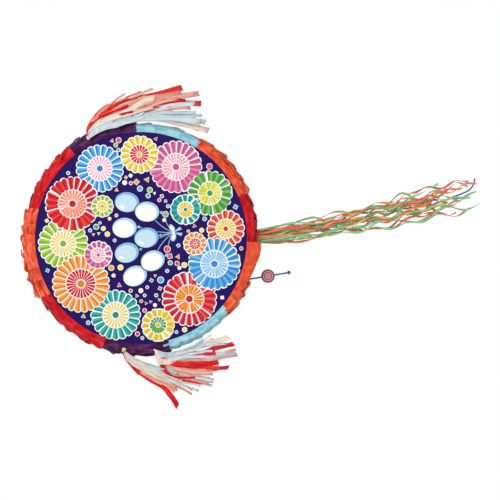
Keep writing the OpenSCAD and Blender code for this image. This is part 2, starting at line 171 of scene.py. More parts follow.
def faces_of(verts):
    """the faces at points, in a fixed order"""
    return list(dict.fromkeys(face for vert in verts for face in vert.link_faces))


def inked(faces, colour):
    """prints faces in one colour"""
    for face in faces:
        for loop in face.loops:
            loop[ink] = linear(colour)


def spot(x, y, r, colour, level, sides=28, turn=0):
    """a flat printed spot: many sides make a dot, four a diamond and three a triangle"""
    lie = (Matrix.Translation(hung(x, y, front_z + print_t + ink_step * level))
        @ Matrix.Rotation(math.pi / 2, 4, "X") @ Matrix.Rotation(turn, 4, "Z"))
    made = bmesh.ops.create_circle(sheet_of_print, cap_ends=True, cap_tris=True, segments=sides,
        radius=r / 1000, matrix=lie)
    inked(faces_of(made["verts"]), colour)
    return made["verts"], lie


def patch(points, colour, level):
    """a flat printed shape through points given anticlockwise"""
    z = front_z + print_t + ink_step * level
    verts = [sheet_of_print.verts.new(hung(x, y, z)) for x, y in points]
    inked([sheet_of_print.faces.new(verts)], colour)


def rosette(x, y, r, pleats, plain, deep, level, turn):
    """a ring of pleats, each with a lit and a shaded side and a white line between pleats"""
    # a pleat is five steps of the ring, which lie at these shares of the radius
    reach = (0.93, 0.985, 1.0, 1.0, 0.985)
    steps = lambda at: (math.atan2(at.y, at.x) % math.tau) / math.tau * 5 * pleats
    for size, colours in ((r + 1.7, [white] * 5), (r, [plain, plain, deep, deep, white])):
        verts, lie = spot(x, y, size, white, level if size > r else level + 1, 5 * pleats, turn)
        back = lie.inverted()
        for vert in verts:
            at = back @ vert.co
            if at.length > 0.2 * size / 1000:
                at *= reach[round(steps(at)) % 5]
            vert.co = lie @ at
        for face in faces_of(verts):
            inked([face], colours[int(steps(back @ face.calc_center_median())) % 5])


bmesh.ops.create_cone(sheet_of_print, cap_ends=True, segments=180, radius1=print_r / 1000,
    radius2=print_r / 1000, depth=print_t / 1000, matrix=Matrix.Translation(
        hung(0, 0, front_z + print_t / 2)) @ Matrix.Rotation(math.pi / 2, 4, "X"))
inked(sheet_of_print.faces, indigo)
# pairs of a lit and a shaded ink
teal, butter, leaf = ("#3FB7A6", "#1F8F8C"), ("#F7F3C8", "#E8C63A"), ("#86C06A", "#4E9A4C")
amber, lime, pink = ("#F6A94A", "#EE7F2E"), ("#B5D23C", "#7FB53A"), ("#E887AE", "#C85A90")
scarlet, blush, yellow = ("#EE4438", "#C9202F"), ("#FDF0F4", "#F29BB4"), ("#F6E36A", "#E4BE38")
# place, radius, pleats, and inks of the outer and the inner ring
rosettes = [
    (-118, 62, 40, 20, teal, butter),
    (-58, 110, 46, 24, amber, ("#E8352F", "#B81F2C")),
    (12, 128, 40, 20, lime, butter),
    (74, 102, 44, 22, scarlet, ("#F9C0A8", "#F08A6C")),
    (124, 48, 38, 20, ("#5FB4EA", "#2F86D2"), blush),
    (136, -20, 30, 16, yellow, scarlet),
    (106, -76, 42, 22, pink, blush),
    (54, -124, 36, 18, leaf, ("#B5D23C", "#F6E36A")),
    (-8, -140, 30, 16, ("#F2663A", "#D63F27"), yellow),
    (-62, -112, 42, 22, ("#6DBBEC", "#3C8FD6"), ("#BFE0F2", "#8CC6EA")),
    (-112, -62, 44, 22, ("#EF5A54", "#C92B3C"), amber),
    (-146, -4, 26, 14, yellow, leaf),
    (-16, 74, 22, 14, pink, blush),
    (34, -80, 24, 14, teal, yellow),
    (-24, -86, 18, 12, amber, scarlet),
    (62, 54, 17, 12, lime, yellow)]
for i, (x, y, r, pleats, outer, inner) in enumerate(rosettes):
    # neighbours lie over and under each other, and the small ones on top
    level = 1 + 6 * (i % 2) if r > 25 else 13
    rosette(x, y, r, pleats, *outer, level, 0.11 * i)
    rosette(x, y, 0.52 * r, pleats, *inner, level + 2, 0.05 * i)
    spot(x, y, 0.17 * r, white, level + 4)
    spot(x, y, 0.13 * r, outer[1], level + 5)
# a bunch of pale balloons, each with a shaded edge and a glint, tied together with a bow
balloon_w, balloon_h = 33, 40
tied = Vector((0, -54))
string_steps = 16


def oval(x, y, w, h, turn, colour, level):
    """a printed ellipse, turned by degrees"""
    spin = Matrix.Rotation(math.radians(turn), 2)
    rim = []
    for q in range(48):
        a = math.tau * q / 48
        rim.append(spin @ Vector((w / 2 * math.cos(a), h / 2 * math.sin(a))))
    patch([(x + p.x, y + p.y) for p in rim], colour, level)


balloons = [(-60, 20, 14), (-20, 27, 5), (21, 24, -6), (62, 13, -15),
    (-40, -13, 12), (-1, -9, 0), (41, -17, -13)]
for k, (x, y, turn) in enumerate(balloons):
    plain, deep = ((white, ice), ("#CBE6F6", "#7FBCE6"))[k % 2]
    level = 20 if k < 4 else 26
    down = Matrix.Rotation(math.radians(turn), 2) @ Vector((0, -balloon_h / 2))
    neck = Vector((x, y)) + down
    oval(x, y, balloon_w + 2.6, balloon_h + 2.6, turn, indigo, level)
    oval(x, y, balloon_w, balloon_h, turn, deep, level + 1)
    oval(x - 1.3, y + 1.5, balloon_w - 4.4, balloon_h - 5, turn, plain, level + 2)
    oval(x - 6.5, y + 9.5, 5, 9, turn - 28, white, level + 3)
    foot, wing = neck + 0.24 * down, 0.16 * Vector((-down.y, down.x))
    patch([neck, foot - wing, foot + wing], deep, level + 1)
    # the string sags towards the bow
    string = []
    for q in range(string_steps + 1):
        sag = 0.16 * (tied.x - foot.x) * math.sin(math.pi * q / string_steps)
        string.append(foot.lerp(tied, q / string_steps) + Vector((sag, 0)))
    for a, b in zip(string, string[1:]):
        edge = 0.5 * Vector((a.y - b.y, b.x - a.x)).normalized()
        patch([a - edge, b - edge, b + edge, a + edge], ice, 19)
for flank in (-1, 1):
    oval(tied.x + 7.5 * flank, tied.y + 1, 14, 8.5, 24 * flank, ice, 30)
    oval(tied.x + 7.5 * flank, tied.y + 1, 10, 5, 24 * flank, white, 31)
    tail = [(tied.x + x * flank, tied.y - y) for x, y in ((0, 0), (3, 15), (8, 12))]
    patch(tail if flank > 0 else tail[::-1], ice, 29)
oval(tied.x, tied.y, 5, 5, 0, white, 32)
# confetti in the gaps, each with a white edge
dice = random.Random(11)
balloon_room, bow_room, confetti_r = 22, 18, 167
taken = [(x, y, r + 3) for x, y, r, *_ in rosettes]
taken += [(x, y, balloon_room) for x, y, turn in balloons]
taken += [(tied.x, tied.y + rise, bow_room) for rise in (0, 16)]
bright = ["#E8352F", "#F6A94A", "#F6E36A", "#86C06A", "#5FB4EA", "#E65A93", white, "#3FB7A6"]
for k in range(2600):
    r, turn = confetti_r * math.sqrt(dice.random()), dice.uniform(0, math.tau)
    x, y, size = r * math.cos(turn), r * math.sin(turn), dice.choice([2.2, 3.0, 3.8, 4.6])
    if all(math.hypot(x - a, y - b) > c + size for a, b, c in taken):
        taken.append((x, y, size + 2.5))
        sides = dice.choice([4, 24, 24, 3, 6])
        spot(x, y, size + 1.1, white, 1, sides, turn)
        spot(x, y, size, dice.choice(bright), 2, sides, turn)


def spread(material, value, least, most):
    """values from 0 to 1, spread from least to most"""
    inputs = {"Value": value, "To Min": least, "To Max": most}
    return add(material, "MapRange", inputs).outputs["Result"]


def finished(bm, name, material, body="drum", smooth=True):
    """an object from a mesh in the frame's own places, riding on a body"""
    mesh = bpy.data.meshes.new(name)
    bm.to_mesh(mesh)
    bm.free()
    mesh.materials.append(material)
    if smooth:
        mesh.shade_smooth()
    piece = bpy.data.objects.new(name, mesh)
    scene.collection.objects.link(piece)
    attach(piece, body)
    return piece


# Coated printing paper: inks with a slight mottle under a satin varnish, and a surface that
# waves a little over the flutes below it.
print_paper, shader = new_finish("satin_print_paper", {"Specular IOR Level": 0.06})
place = add(print_paper, "TexCoord", {}).outputs["Object"]
inks = add(print_paper, "Attribute", {}, attribute_name="ink").outputs["Color"]
mottle = noisy(print_paper, place, 160.0, 3.0)
printed = blend(print_paper, 1.0, inks, spread(print_paper, mottle, 0.88, 1.08), "MULTIPLY")
feed(print_paper, shader, printed, noisy(print_paper, place, 30.0, 2.0), 0.2, 2)
satin = spread(print_paper, mottle, 0.42, 0.58)
print_paper.node_tree.links.new(satin, shader.inputs["Roughness"])
front_print = finished(sheet_of_print, "front_print", print_paper, smooth=False)
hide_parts("front_cover")

# The back cover and the flap's own cover are plain indigo paper with loose printed confetti,
# glued on before the flap was cut. The confetti has one spot in each cell of 32 mm.
cell = 0.032


def maths(material, operation, *values):
    """a sum, a product or a comparison of values"""
    return add(material, "Math", dict(enumerate(values)), operation=operation).outputs[0]


def ramp(material, share, stops):
    """a colour ramp through stops, each a position and a hex code"""
    node = add(material, "ValToRGB", {"Fac": share})
    for element, (position, code) in zip(node.color_ramp.elements, (stops[0], stops[-1])):
        element.position, element.color = position, linear(code)
    for position, code in stops[1:-1]:
        node.color_ramp.elements.new(position).color = linear(code)
    return node


back_paper, shader = new_finish("plain_back_paper",
    {"Roughness": 0.55, "Specular IOR Level": 0.06})
place = add(back_paper, "TexCoord", {}).outputs["Object"]
flat = add(back_paper, "Mapping",
    {"Vector": place, "Rotation": (-math.pi / 2, 0, 0)}).outputs[0]
# spots 5 to 8 mm across, with a white edge 1 mm wide; the radii are shares of a cell
cells = add(back_paper, "TexVoronoi",
    {"Vector": flat, "Scale": 1 / cell, "Randomness": 0.9}, voronoi_dimensions="2D")
chances = add(back_paper, "SeparateColor", {"Color": cells.outputs["Color"]})
spot_r = spread(back_paper, chances.outputs["Green"], 0.075, 0.125)
edge_r = maths(back_paper, "ADD", spot_r, 0.032)
dots = maths(back_paper, "LESS_THAN", cells.outputs["Distance"], spot_r)
edges = maths(back_paper, "LESS_THAN", cells.outputs["Distance"], edge_r)
inks = ramp(back_paper, chances.outputs["Red"],
    [(0.18 * k, bright[k]) for k in range(5)] + [(0.8, bright[5])])
inks.color_ramp.interpolation = "CONSTANT"
mottle = noisy(back_paper, place, 90.0, 4.0)
ground = blend(back_paper, mottle, "#1D0E50", "#2E1A74")
ringed = blend(back_paper, edges, ground, "#F4F1FA")
spotted = blend(back_paper, dots, ringed, inks.outputs["Color"])
feed(back_paper, shader, spotted, mottle, 0.15, 1)
dress(("back_cover", "flap_cover"), back_paper)

# The rim is dressed in rows of crepe paper. Each row is a strip folded over both edges of the
# rim and glued along its upper edge; its lower edge is slit into tabs that stand away.
lip_r = print_r - 0.7
rim_w = 42
corner = 4.4
# width of paper that folds over the rim's edge, where the lip ends, and the lip's greatest depth
fold_w, lip_end, lip_z = 7, 60, 47.5
columns_of_lip = list(range(-lip_end, -rim_w, 2))
row_steps = 14
# height of a row's glued edge, as a share of its free edge's, its length under the row above and
# where its slits start, as shares of the row
row_root, tuck, slit_from = 0.76, 0.55, 0.2
# height of paper that is glued down, least height of loose paper, and metres of rim to a degree
glue_h, least_h, rim_degree = 0.5, 0.9, 0.0032


def eased(v):
    """from 0 to 1 and smooth at both ends"""
    v = min(1, max(0, v))
    return v * v * (3 - 2 * v)


def section(s, rim_h, lip_h, lip_lift):
    """radius and depth of the paper, s millimetres from the rim's middle line"""
    d = abs(s)
    if d <= rim_w:
        return drum_r + rim_h, s
    turn = min(1, (d - rim_w) / fold_w) * math.pi / 2
    r = drum_r + lip_h - corner * (1 - math.cos(turn))
    z = rim_w + corner * math.sin(turn) - 1.0 + lip_lift
    if d > rim_w + fold_w:
        share = (d - rim_w - fold_w) / (lip_end - rim_w - fold_w)
        r += (lip_r - r) * share
        z += 0.15 * share
    return r, math.copysign(min(z, lip_z), s)


def edges_of(verts):
    """the edges at points, in a fixed order"""
    return list(dict.fromkeys(edge for vert in verts for edge in vert.link_edges))


def grid(bm, wide, long):
    """the points of a new flat grid, 1 by 1, with so many faces each way"""
    return bmesh.ops.create_grid(bm, x_segments=wide, y_segments=long, size=0.5)["verts"]


def paper_sheet():
    """an empty mesh with the maps that the paper finishes read"""
    bm = bmesh.new()
    bm.loops.layers.uv.new("paper")
    bm.verts.layers.float.new("shade")
    return bm


def mark(bm, vert, tone, along, across):
    """sets a point's shade and its place on the flat paper, in metres"""
    vert[bm.verts.layers.float["shade"]] = tone
    paper = bm.loops.layers.uv["paper"]
    for loop in vert.link_loops:
        loop[paper].uv = (along, across)


def crepe_row(bm, root, tip, lift, tabs, ruffle, crush, spill, dice):
    """one slit row from its glued edge at root to its free edge at tip, in degrees; its longest
    tabs pass the free edge by a share spill of the row"""
    slits = [2 * rim_w * (k / tabs - 0.5) for k in range(tabs + 1)]
    slits[1:-1] = [k + dice.uniform(-0.3, 0.3) * rim_w / tabs for k in slits[1:-1]]
    between = [a + (b - a) * f for a, b in zip(slits, slits[1:]) for f in (0, 1 / 3, 2 / 3)]
    across = columns_of_lip + between + [rim_w] + [-s for s in reversed(columns_of_lip)]
    verts = grid(bm, len(across) - 1, row_steps)
    column = lambda co: (co.x + 0.5) * (len(across) - 1)
    along = lambda co: -tuck + (1 + tuck) * (co.y + 0.5)
    slit_columns = {i for i, s in enumerate(across) if min(abs(s - k) for k in slits) < 1e-6}
    cut = [e for e in edges_of(verts) if abs(e.verts[0].co.x - e.verts[1].co.x) < 1e-6
        and all(round(column(v.co)) in slit_columns and along(v.co) > slit_from for v in e.verts)]
    faces = faces_of(verts)
    bmesh.ops.split_edges(bm, edges=cut)
    # each tab has its own stand, curl, length, width and twist
    ways = [(dice.uniform(0.8, 1.06), dice.uniform(-2.6, 0.5), dice.uniform(-0.22, spill),
        dice.uniform(0.02, 0.16), dice.uniform(-1, 1)) for _ in range(tabs + 2)]
    tone, seed, skew = dice.uniform(-0.06, 0.06), dice.uniform(0, 100), dice.uniform(-1.2, 1.2)
    places = {}
    for face in faces:
        middle = across[int(column(face.calc_center_median()))] + 0.01
        if abs(middle) > rim_w:
            tab = 0 if middle < 0 else tabs + 1
        else:
            tab = sum(middle > k for k in slits)
        for vert in face.verts:
            places[vert] = (across[round(column(vert.co))], along(vert.co), tab)
    for vert, (s, t, tab) in places.items():
        stand, curl, longer, narrow, twist = ways[tab]
        free = eased((t - slit_from) / (1 - slit_from))
        low = min(1, max(t, 0))
        lip_h = lift * (0.36 + 0.1 * low) if t >= 0 else lift * 0.36 * (1 + 0.6 * t)
        rim_h = lift * (row_root + (1 - row_root) * min(1, low / 0.75) ** 1.4)
        if t < 0:
            # the glued edge goes down to the board under the row above
            glued = eased((-t - 0.25) / (tuck - 0.25))
            rim_h = rim_h * (1 + 0.5 * t) * (1 - glued) + glue_h * glued
        # the row rounds off towards the front and the back
        rounded = eased((rim_w + 1 - abs(s)) / 13)
        rim_h = lip_h + (rim_h - lip_h) * rounded
        if 0 < tab <= tabs:
            middle = (slits[tab - 1] + slits[tab]) / 2
            half = (s - middle) / (slits[tab] - middle)
            rim_h *= 1 + (stand - 1) * free
            rim_h += curl * lift / 12 * max(0, (t - 0.5) / 0.5) ** 2 + 1.1 * twist * half * free
            if t > 0.3:
                # no tab curls down through the row below it
                rim_h = max(rim_h, lip_h + ((row_root + 0.02) * lift - lip_h) * rounded)
            s = middle + (s - middle) * (1 - narrow * free)
            t += longer * free
        angle = root + (tip - root) * t + skew * min(1, max(0, (abs(s) - rim_w) / 14))
        # ruffles about 9 mm long, and creases that run round the rim
        wave = ruffle * noise.noise((angle * 0.36, s * 0.13, seed))
        crease = ruffle * noise.noise((angle * 0.2, s * 0.31, seed + 9))
        rim_h = max(rim_h + (wave + 0.5 * crease) * (0.5 + 0.5 * free), least_h)
        # the lip is flat where it is glued to the front and crumples towards its fold
        loose = eased((lip_end - abs(s)) / 9)
        open_part = 1 - eased(-t / tuck)
        lip_lift = 0.7 + 0.75 * max(0, t + tuck) / (1 + tuck)
        lip_lift += 0.5 * loose * crush * (wave + crease) * open_part
        lip_h = max(lip_h + 0.5 * wave, least_h)
        r, z = section(s, rim_h, lip_h, max(lip_lift, glue_h))
        vert.co = hung(*on_rim(angle, r), z)
        # painted shade: the shade map is darker in the hollows of the ruffles and along the
        # creases, more so where the paper is crushed, and darker towards each row's glued edge
        # under the row above; tone and twist add a random tone for each row and each tab
        painted_crease_shade = (0.2 * wave + 0.42 * crush * crease * loose) / ruffle
        shade = 0.48 + tone + 0.16 * (low - 0.5) + 0.08 * twist + painted_crease_shade
        mark(bm, vert, shade, angle * rim_degree, s / 1000)


def rim_height(vert):
    """how far a point is outside the board of the rim"""
    return math.hypot(1000 * vert.co.x, 1000 * vert.co.z + hang_drop) - drum_r


def drop_scraps(bm):
    """deletes cut-off bits that nowhere come within 1.5 mm of the board"""
    left = set(bm.faces)
    while left:
        piece, edge = set(), {left.pop()}
        while edge:
            piece |= edge
            edge = {near for f in edge for line in f.edges for near in line.link_faces} - piece
        left -= piece
        if all(rim_height(vert) > 1.5 for face in piece for vert in face.verts):
            bmesh.ops.delete(bm, geom=list(piece), context="FACES")


def crepe_paper(name, deep, plain, pale):
    """crepe paper: dull and fibrous, with crinkles about 1.2 mm apart; its colour runs from a
    shaded tone through its own to a lit tone, which is painted shade and light
    """
    material, shader = new_finish(name, {"Roughness": 0.85, "Specular IOR Level": 0.1,
        "Sheen Weight": 0.05, "Sheen Roughness": 0.5})
    sheet = add(material, "UVMap", {}, uv_map="paper").outputs["UV"]
    # crinkles run the short way of the strip; drawn 2.6 mm apart so that they show
    along = add(material, "Mapping", {"Vector": sheet, "Scale": (55, 385, 1)}).outputs[0]
    crinkle = noisy(material, along, 1.0, 3.0, 0.6)
    shade = add(material, "Attribute", {}, attribute_name="shade").outputs["Fac"]
    # painted shade: the crinkles darken and lighten the colour as well as bumping it
    tone = maths(material, "ADD", shade, spread(material, crinkle, -0.38, 0.38))
    colours = ramp(material, tone, [(0.12, deep), (0.5, plain), (0.9, pale)])
    feed(material, shader, colours.outputs["Color"], crinkle, 0.8, 1.4)
    return material


def outward(bm):
    """turns the faces of a mesh to its outside"""
    bmesh.ops.recalc_face_normals(bm, faces=bm.faces)


def thin_piece(bm, name, material, thick, body="drum"):
    """an object from a sheet, with its thickness in millimetres"""
    piece = finished(bm, name, material, body)
    solid = piece.modifiers.new("thickness", "SOLIDIFY")
    solid.thickness = thick / 1000
    solid.offset = 0
    return piece


# each paper's shaded, own and lit tone; the shaded and lit ones carry painted shade and light
crepe = {colour: crepe_paper("crepe_" + colour, *inks) for colour, *inks in (
    ("orange", "#B43020", "#F05A3A", "#FF8768"), ("red", "#96101A", "#D01A22", "#EC3A42"),
    ("purple", "#260A29", "#4B1D4D", "#74437A"), ("blue", "#74B7C9", "#9CD6E6", "#C2EDF6"))}
# side and colour, first and last angle, lift, distance from row to row, tabs across, ruffle,
# crush; crush also deepens the painted crease shade
rows_of_crepe = [
    ("top_orange", [(183, 155.8), (177.5, 201)], 17, 22, 13, 3.0, 1.6),
    ("right_red", [(155.8, 118.5)], 12, 24, 13, 2.4, 1.6),
    ("right_purple", [(118.5, 83.5)], 13, 24, 13, 2.8, 1.1),
    ("right_blue", [(83.5, 48.5)], 7, 36, 6, 1.3, 1),
    ("right_orange", [(48.5, 13)], 11, 21, 13, 1.9, 1.1),
    ("low_red", [(13, -0.4), (349.0, 360.4)], 9, 22, 13, 1.8, 1),
    ("left_orange", [(310, 328.75)], 11, 21, 13, 1.9, 1.1),
    ("left_blue", [(274.8, 310)], 8, 18, 9, 1.4, 1.1),
    ("left_purple", [(241.3, 274.8)], 13, 24, 13, 2.8, 1.1),
    ("left_red", [(201, 241.3)], 13, 24, 13, 2.4, 1.2)]
# the hang hole stays clear of paper; so does the ribbons' slot, and the paper beside the slot is
# pressed down, but not towards the trap door
hole_r = 7.5
slot_angle = -8.6
slot_x = drum_r * sin(slot_angle)
slot_half, slot_deep, pressed = 14.3, 14, 9
# heights above and below which only the top and the lowest part of the rim lie
rim_top, rim_low = -20, -300


def over_opening(face):
    """whether paper lies over the hang hole or over the ribbons' slot"""
    x, y, z = face.calc_center_median() * 1000
    over_slot = z < rim_low and abs(x - slot_x) < slot_half and abs(y) < slot_deep
    return over_slot or (z > rim_top and math.hypot(x, y) < hole_r)


for i, (name, runs, lift, pitch, tabs, ruffle, crush) in enumerate(rows_of_crepe):
    colour = name.split("_")[1]
    bm = paper_sheet()
    dice = random.Random(40 + i)
    for first, last in runs:
        n = max(1, round(abs(last - first) * drum_r * math.pi / 180 / pitch))
        # rows laid by eye, not quite evenly
        steps = [k + (dice.uniform(-0.16, 0.16) if 0 < k < n else 0) for k in range(n + 1)]
        ends = [first + (last - first) * k / n for k in steps]
        for k in range(n):
            spill = 0.12 if k < n - 1 else 0.02
            crepe_row(bm, ends[k], ends[k + 1], lift, tabs, ruffle, crush, spill, dice)
    clear = [face for face in bm.faces if over_opening(face)]
    for vert in bm.verts:
        x, y, z = vert.co * 1000
        gap = max(x - slot_x - slot_half, abs(y) - slot_deep)
        h = rim_height(vert)
        if z < rim_low and gap < pressed and h > glue_h:
            press = 0.9 * (1 - eased(gap / pressed)) * eased((x - slot_x + 14) / 10)
            flat = (drum_r + h - (h - glue_h) * press) / (drum_r + h)
            vert.co = hung(x * flat, (z + hang_drop) * flat, -y)
    bmesh.ops.delete(bm, geom=clear, context="FACES")
    drop_scraps(bm)
    if name == "left_orange":
        # smooth paper swells beside the trap door, in front of it and behind it
        columns = [30, 32, 35, 38.5, 42, 43.4, 44.8, 46.3, 47.7, 49, 51.5, 54, 56.5, 58.5, 60]
        for side in (1, -1):
            for vert in grid(bm, len(columns) - 1, 22):
                s = columns[round((vert.co.x + 0.5) * (len(columns) - 1))]
                f = vert.co.y + 0.5
                angle = 327.6 + 20.9 * f
                swell = 14.6 * (0.5 + 0.5 * sin(min(90, 110 * f * f)))
                swell -= 2.4 * max(0, (f - 0.78) / 0.22) ** 2
                wave = 1.5 * noise.noise((angle * 0.5, s * 0.09, 3 * side))
                wave += 0.7 * noise.noise((angle * 1.3, s * 0.3, 7 * side))
                full = sin(min(90, 35 + 55 * (s - 30) / 10))
                r, z = section(s, (swell + wave) * full, swell + wave, 1.5 + 0.25 * wave)
                vert.co = hung(*on_rim(angle, r), side * z)
                # painted shade: darker where the swell's waves sink and lighter where they rise
                mark(bm, vert, 0.45 + 0.09 * wave, angle * rim_degree, s / 1000)
    outward(bm)
    block = thin_piece(bm, "rows_" + name, crepe[colour], 0.4)
    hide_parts("crepe_" + name)

# The trap door has its own skin of orange crepe paper, which is glued to its board and laps over
# the rim at the free edge.
skin_w, skin_from, skin_span = 55, -33.7, 18.25
bm = paper_sheet()
for vert in grid(bm, 24, 20):
    s, f = skin_w * vert.co.x, vert.co.y + 0.5
    angle = skin_from + skin_span * f
    wave = noise.noise((angle * 0.9, s * 0.2, 2.0))
    vert.co = hung(*on_rim(angle, drum_r + least_h + 0.45 * wave), s)
    # painted shade: darker where the skin's waves sink and lighter where they rise
    mark(bm, vert, 0.45 + 0.15 * wave, angle * rim_degree, s / 1000)
outward(bm)
skin = thin_piece(bm, "door_crepe", crepe["orange"], 0.5, "door")
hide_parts("door_skin")

# The pull cord is a three-strand blue cord. It is knotted behind the door, hangs from it
# through a round card tag and ends in a second knot.
cord_d, cord_lay = 2.8, 6.5
low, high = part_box("pull_cord")
cord_x, cord_top = 500 * (low.x + high.x), 1000 * high.z + hang_drop - cord_d / 2 - 0.15
cord_end = 1000 * low.z + hang_drop


def heading(line, k):
    """the direction of a line of points at its point k"""
    return (line[min(k + 1, len(line) - 1)] - line[max(k - 1, 0)]).normalized()


def tube(bm, sides, cuts, closed):
    """an upright tube, 1 high and 1 in radius, cut into rings"""
    made = bmesh.ops.create_cone(bm, cap_ends=closed, segments=sides, radius1=1, radius2=1,
        depth=1)
    upright = [e for e in edges_of(made["verts"])
        if abs(e.verts[0].co.z - e.verts[1].co.z) > 0.5]
    bmesh.ops.subdivide_edges(bm, edges=upright, cuts=cuts)


def twisted_cord(bm, line, thick, lay, sides=12):
    """a three-strand cord along points in millimetres; one turn of its strands is lay long"""
    tube(bm, sides, len(line) - 2, True)
    run, frames = 0, []
    ahead = heading(line, 0)
    side = ahead.orthogonal().normalized()
    for i, p in enumerate(line):
        side = ahead.rotation_difference(heading(line, i)) @ side
        ahead = heading(line, i)
        run += (p - line[i - 1]).length if i else 0
        frames.append((p, side.copy(), ahead.cross(side), run))
    # points of cords that are already in the mesh are tagged
    for vert in [v for v in bm.verts if not v.tag]:
        p, side, over, run = frames[round((vert.co.z + 0.5) * (len(line) - 1))]
        turn = math.atan2(vert.co.y, vert.co.x)
        r = thick / 2 * (0.8 + 0.2 * abs(math.cos(1.5 * (turn + math.tau * run / lay))))
        vert.co = hung(*(p + r * (math.cos(turn) * side + math.sin(turn) * over)))
        vert.tag = True


def knot(bm, x, y, size, thick, turn):
    """an overhand knot pulled tight round its own middle"""
    loop = []
    for k in range(72):
        a = math.tau * k / 72 * 2
        r = size * (0.27 + 0.12 * math.cos(1.5 * a))
        p = Vector((r * math.cos(a), 0.2 * size * math.sin(1.5 * a), r * math.sin(a)))
        loop.append(Vector((x, y, 0)) + Matrix.Rotation(math.radians(turn), 3, "Z") @ p)
    twisted_cord(bm, loop, thick, 7, 10)


# Twisted polyester cord: strands with a soft shine and darker grooves between them. Its
# filaments are about 0.2 mm thick, drawn 0.7 mm so that they show.
cord_yarn, shader = new_finish("twisted_cord_blue",
    {"Roughness": 0.6, "Sheen Weight": 0.3, "Specular IOR Level": 0.35})
yarn = noisy(cord_yarn, add(cord_yarn, "TexCoord", {}).outputs["Object"], 1400.0, 2.0)
feed(cord_yarn, shader, blend(cord_yarn, yarn, "#2A3F74", "#587AB8"), yarn, 0.4, 0.3)
drop = [Vector((cord_x, cord_top + (cord_end - cord_top) * k / 90, 0)) for k in range(91)]
bm = bmesh.new()
twisted_cord(bm, drop, 1.1 * cord_d, cord_lay)
pull = finished(bm, "pull_cord_strands", cord_yarn, "cord")
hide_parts("pull_cord")
bm = bmesh.new()
knot(bm, cord_x, cord_end - 1.9, 6.2, 2.6, 0)
stub = [Vector((cord_x, cord_end - 0.5 - 4.8 * k / 12, 0)) for k in range(13)]
twisted_cord(bm, stub, 3.2, cord_lay)
outward(bm)
end_knot = finished(bm, "end_knot_strands", cord_yarn, "cord")
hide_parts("end_knot")
bm = bmesh.new()
door_a = math.degrees(math.atan2(cord_x, -cord_top))
knot_r = drum_r - 5
knot(bm, *on_rim(door_a, knot_r), 6.4, 2.7, door_a)
stub = [Vector((*on_rim(door_a, knot_r + 6.3 * k / 12), 0)) for k in range(13)]
twisted_cord(bm, stub, cord_d, cord_lay)
outward(bm)
door_knot = finished(bm, "door_knot_strands", cord_yarn, "door")
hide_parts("door_knot")
# The tag is two discs of pink card with a dark red edge, pressed together round the cord.
low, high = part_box("tag_front")
tag_card, shader = new_finish("tag_card", {"Roughness": 0.6, "Specular IOR Level": 0.35})
place = add(tag_card, "TexCoord", {}).outputs["Object"]
centred = add(tag_card, "Mapping", {"Vector": place,
    "Location": (-(low.x + high.x) / 2, 0, -(low.z + high.z) / 2)}).outputs[0]
flat = add(tag_card, "Mapping", {"Vector": centred, "Scale": (1, 0, 1)}).outputs[0]
away = add(tag_card, "VectorMath", {0: flat}, operation="LENGTH").outputs["Value"]
# the printed edge is 2.4 mm wide, with a thin ring inside it
edge = maths(tag_card, "GREATER_THAN", away, 0.009)
ring = maths(tag_card, "COMPARE", away, 0.0062, 0.0005)
marks = maths(tag_card, "MAXIMUM", edge, ring)
pulp = noisy(tag_card, place, 500.0, 3.0)
tagged = blend(tag_card, marks, blend(tag_card, pulp, "#BC7A7E", "#E0ACAC"), "#6E2630")
feed(tag_card, shader, tagged, pulp, 0.2, 0.3)
dress(("tag_front", "tag_back"), tag_card)

# Twenty-five curling ribbons, 4.2 mm wide, are gathered in a knot inside the drum, come out
# through a slot in the rim and hang as one bundle, with a round blue cord behind them.
ribbon_w, ribbon_len, ribbon_pitch, ribbon_steps = 4.2, 385, 4.7, 110
seat = math.sqrt((drum_r - 2.3) ** 2 - 18 ** 2) + 0.4


def start_y(x):
    """height of the knot's flat face"""
    return (x * sin(slot_angle) - seat) / cos(slot_angle)


def ribbon_point(c, d, u):
    """place on the ribbon of column c and layer d, at u of the longest ribbon's length"""
    # each layer swings as one, in a long and a short wave of its own
    swing = 4.2 * min(1, 3 * u) * sin(360 * (2.6 + 0.5 * d) * u + 100 * d)
    swing += 2.8 * min(1, 1.5 * u) * sin(360 * (6.2 + 0.6 * (2 * d % 5)) * u + 77 * d)
    # and each ribbon strays from its layer, so that the bundle looks plaited
    pace = 1.1 + 0.23 * ((2 * c + 3 * d) % 7)
    stray = 5 * min(1, 5 * u) * sin(360 * pace * u + 97 * c + 53 * d)
    stray += 5 * u * noise.noise((7 * u, 3.1 * c + 0.5, 2.7 * d + 0.3))
    # the bundle bows to the left, then to the right, and grows wider and deeper
    grown = 7 * u ** 1.5
    x = slot_x + 11 * u * u - 5 * sin(180 * u ** 0.6) + (c - 2) * (ribbon_pitch + grown)
    x += 0.45 * grown * sin(1800 * u + 130 * c + 50 * d)
    z = (2 - d) * 3.6 * (1 + 0.5 * u) + 0.4 * min(1, 4 * u) * sin(2160 * u + 75 * c)
    z += 0.6 * (c - 2) * min(1, 5 * u)
    y = start_y(slot_x + (c - 2) * ribbon_pitch) - ribbon_len * u
    return Vector((x + swing + stray, y, z))


